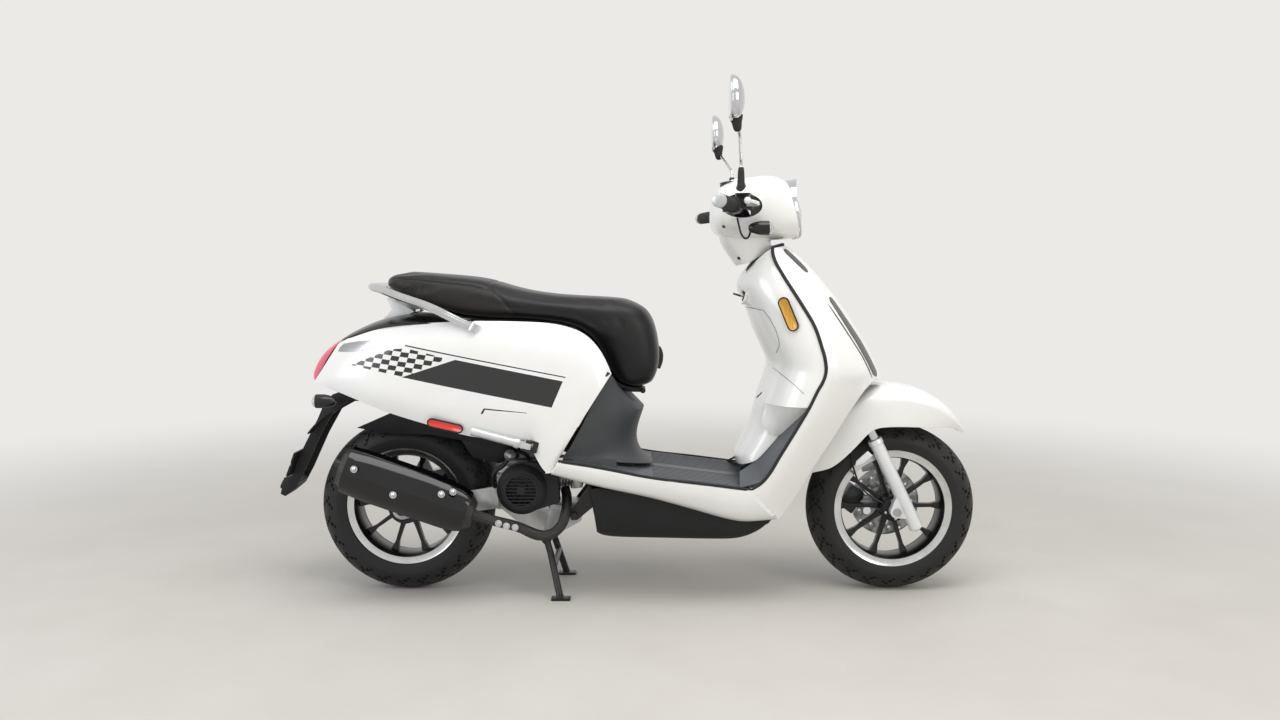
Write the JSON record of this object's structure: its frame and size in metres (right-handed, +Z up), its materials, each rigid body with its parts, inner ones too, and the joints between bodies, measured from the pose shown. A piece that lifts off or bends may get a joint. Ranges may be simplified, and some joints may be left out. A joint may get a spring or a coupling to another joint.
{
  "type": "moped scooter",
  "caption": "Retro-style moped scooter with swinging rear power unit, telescopic fork, hinged seat, folding pegs, levers, mirrors and centre stand.",
  "frame": {"origin": "on the ground plane, midway between the foremost and rearmost points, on the centre plane", "axes": "+X forward, +Y to the rider's left, +Z up"},
  "size_m": [1.8959, 0.717, 1.334],
  "materials": {
    "frame_black": "satin black paint",
    "body_white": "gloss white paint on moulded panels",
    "cowl_white": "gloss white paint",
    "dark_plastic": "grained dark grey plastic",
    "black_plastic": "matt black plastic",
    "lens_red": "translucent red lens",
    "reflector": "prismatic reflector",
    "signal": "black housing with a clear lens",
    "chrome": "polished chrome",
    "key": "steel barrel with a black key head",
    "seat_vinyl": "stitched black vinyl over foam",
    "peg_alloy": "cast alloy",
    "slider_silver": "painted alloy",
    "glass": "clear lens",
    "dial": "dial under a clear cover",
    "rubber_black": "moulded rubber",
    "tyre": "grooved rubber",
    "rim_black": "cast alloy under gloss black paint",
    "steel": "brushed steel",
    "alloy_cast": "bead-blasted castings",
    "exhaust_black": "heat-proof black paint",
    "guard_gloss": "gloss black guard with chrome screws",
    "spring_red": "powder-coated spring steel",
    "button_grey": "moulded button"
  },
  "bodies": {
    "chassis": {"main_frame": "frame_black", "leg_shield": "body_white", "inner_cover": "body_white", "floorboard": "dark_plastic", "seat_apron": "dark_plastic", "side_skirts": "body_white", "belly_pan": "black_plastic", "side_panels": "body_white", "tail_trim": "black_plastic", "tail_lamp": "lens_red", "rear_mudguard": "black_plastic", "reflectors": "reflector", "rear_turn_signals": "signal", "helmet_box": "black_plastic", "fuel_tank": "frame_black", "grab_rail": "chrome"},
    "lock_barrel": {"ignition_key": "key"},
    "tank_cap": {"fuel_cap": "black_plastic"},
    "seat": {"seat_cushion": "seat_vinyl", "seat_pan": "black_plastic"},
    "peg_right": {"passenger_peg_right": "peg_alloy"},
    "peg_left": {"passenger_peg_left": "peg_alloy"},
    "steering": {"fork_yoke": "steel", "front_fender": "body_white", "handlebar": "frame_black", "handlebar_cowl": "cowl_white", "headlight_lens": "glass", "speedometer": "dial", "switch_housings": "black_plastic", "front_turn_signals": "signal", "left_grip": "rubber_black", "mirror_stems": "chrome", "brake_hose": "rubber_black"},
    "fork_lower": {"fork_sliders": "slider_silver", "brake_caliper": "frame_black", "front_axle": "steel"},
    "front_wheel": {"front_tyre": "tyre", "front_rim": "rim_black", "brake_disc": "steel"},
    "power_unit": {"crankcase": "alloy_cast", "belt_cover": "black_plastic", "fan_shroud": "black_plastic", "cylinder_head": "alloy_cast", "muffler": "exhaust_black", "muffler_shield": "guard_gloss"},
    "fan": {"cooling_fan": "alloy_cast"},
    "stand": {"centre_stand": "frame_black"},
    "rear_wheel": {"rear_tyre": "tyre", "rear_rim": "rim_black"},
    "damper_body": {"shock_body": "frame_black", "shock_spring": "spring_red"},
    "damper_rod": {"shock_rod": "steel"},
    "throttle": {"throttle_grip": "rubber_black"},
    "lever_right": {"brake_lever_right": "peg_alloy"},
    "lever_left": {"brake_lever_left": "peg_alloy"},
    "mirror_right": {"mirror_head_right": "chrome"},
    "mirror_left": {"mirror_head_left": "chrome"},
    "starter": {"start_button": "button_grey"},
    "horn": {"horn_button": "button_grey"},
    "indicator": {"turn_switch": "button_grey"}
  },
  "joints": [
    {"name": "key_turn", "type": "hinge", "parent": "chassis", "child": "lock_barrel", "pos_m": [0.318, -0.058, 0.8], "axis": [0.9511, 0, -0.309], "range_deg": [0, 90]},
    {"name": "cap_lift", "type": "slide", "parent": "chassis", "child": "tank_cap", "axis": [0, 0, 1], "range_m": [0, 0.02]},
    {"name": "seat_open", "type": "hinge", "parent": "chassis", "child": "seat", "pos_m": [0.045, 0, 0.549], "axis": [0, 1, 0], "range_deg": [0, 64]},
    {"name": "peg_right_fold", "type": "hinge", "parent": "chassis", "child": "peg_right", "pos_m": [-0.248, -0.19, 0.424], "axis": [0.2588, 0, 0.9659], "range_deg": [0, 85]},
    {"name": "peg_left_fold", "type": "hinge", "parent": "chassis", "child": "peg_left", "pos_m": [-0.248, 0.19, 0.424], "axis": [-0.2588, 0, -0.9659], "range_deg": [0, 85]},
    {"name": "steer", "type": "hinge", "parent": "chassis", "child": "steering", "pos_m": [0.70323, 0, 0.21936], "axis": [-0.4384, 0, 0.8988], "range_deg": [-38, 38]},
    {"name": "fork_travel", "type": "slide", "parent": "steering", "child": "fork_lower", "axis": [-0.4384, 0, 0.8988], "range_m": [0, 0.036], "stiffness_N_per_m": 6000, "springref_m": -0.067, "deforming": ["brake_hose"]},
    {"name": "front_wheel_spin", "type": "hinge", "parent": "fork_lower", "child": "front_wheel", "pos_m": [0.723, 0, 0.229], "axis": [0, 1, 0], "continuous": true},
    {"name": "engine_swing", "type": "hinge", "parent": "chassis", "child": "power_unit", "pos_m": [-0.14, 0, 0.215], "axis": [0, 1, 0], "range_deg": [0, 8], "stiffness_Nm_per_rad": 4800, "springref_deg": -2.41},
    {"name": "rear_wheel_spin", "type": "hinge", "parent": "power_unit", "child": "rear_wheel", "pos_m": [-0.597, 0, 0.236], "axis": [0, 1, 0], "continuous": true},
    {"name": "fan_spin", "type": "hinge", "parent": "power_unit", "child": "fan", "pos_m": [-0.273, 0, 0.299], "axis": [0, 1, 0], "continuous": true},
    {"name": "stand_fold", "type": "hinge", "parent": "power_unit", "child": "stand", "pos_m": [-0.215, 0, 0.15], "axis": [0, 1, 0], "range_deg": [0, 90]},
    {"name": "damper_lean", "type": "hinge", "parent": "chassis", "child": "damper_body", "pos_m": [-0.5, 0.102, 0.612], "axis": [0, 1, 0], "range_deg": [-1.38, 0.5]},
    {"name": "damper_stroke", "type": "slide", "parent": "damper_body", "child": "damper_rod", "axis": [0.257, 0, 0.9664], "range_m": [-0.001, 0.0638], "deforming": ["shock_spring"]},
    {"name": "throttle_twist", "type": "hinge", "parent": "steering", "child": "throttle", "pos_m": [0.26553, -0.2196, 1.03276], "axis": [-0.3123, -0.95, 0], "range_deg": [0, 70], "stiffness_Nm_per_rad": 0.6},
    {"name": "lever_right_squeeze", "type": "hinge", "parent": "steering", "child": "lever_right", "pos_m": [0.30973, -0.20045, 1.03276], "axis": [0, 0, -1], "range_deg": [0, 12], "stiffness_Nm_per_rad": 3, "springref_deg": -5.73},
    {"name": "lever_left_squeeze", "type": "hinge", "parent": "steering", "child": "lever_left", "pos_m": [0.30973, 0.20045, 1.03276], "axis": [0, 0, 1], "range_deg": [0, 12], "stiffness_Nm_per_rad": 3, "springref_deg": -5.73},
    {"name": "mirror_right_tilt", "type": "hinge", "parent": "steering", "child": "mirror_right", "pos_m": [0.272, -0.28, 1.216], "axis": [0, 1, 0], "range_deg": [-15, 15]},
    {"name": "mirror_left_tilt", "type": "hinge", "parent": "steering", "child": "mirror_left", "pos_m": [0.272, 0.28, 1.216], "axis": [0, 1, 0], "range_deg": [-15, 15]},
    {"name": "start_press", "type": "slide", "parent": "steering", "child": "starter", "axis": [0.95, -0.3123, 0], "range_m": [0, 0.003], "stiffness_N_per_m": 400},
    {"name": "horn_press", "type": "slide", "parent": "steering", "child": "horn", "axis": [0.95, 0.3123, 0], "range_m": [0, 0.003], "stiffness_N_per_m": 400},
    {"name": "indicator_slide", "type": "slide", "parent": "steering", "child": "indicator", "axis": [-0.3123, 0.95, 0], "range_m": [-0.005, 0.005]}
  ],
  "couplings": [
    {"joint": "damper_lean", "follows": "engine_swing", "ratio": -0.11},
    {"joint": "damper_stroke", "follows": "engine_swing", "m_per_rad": 0.45}
  ]
}
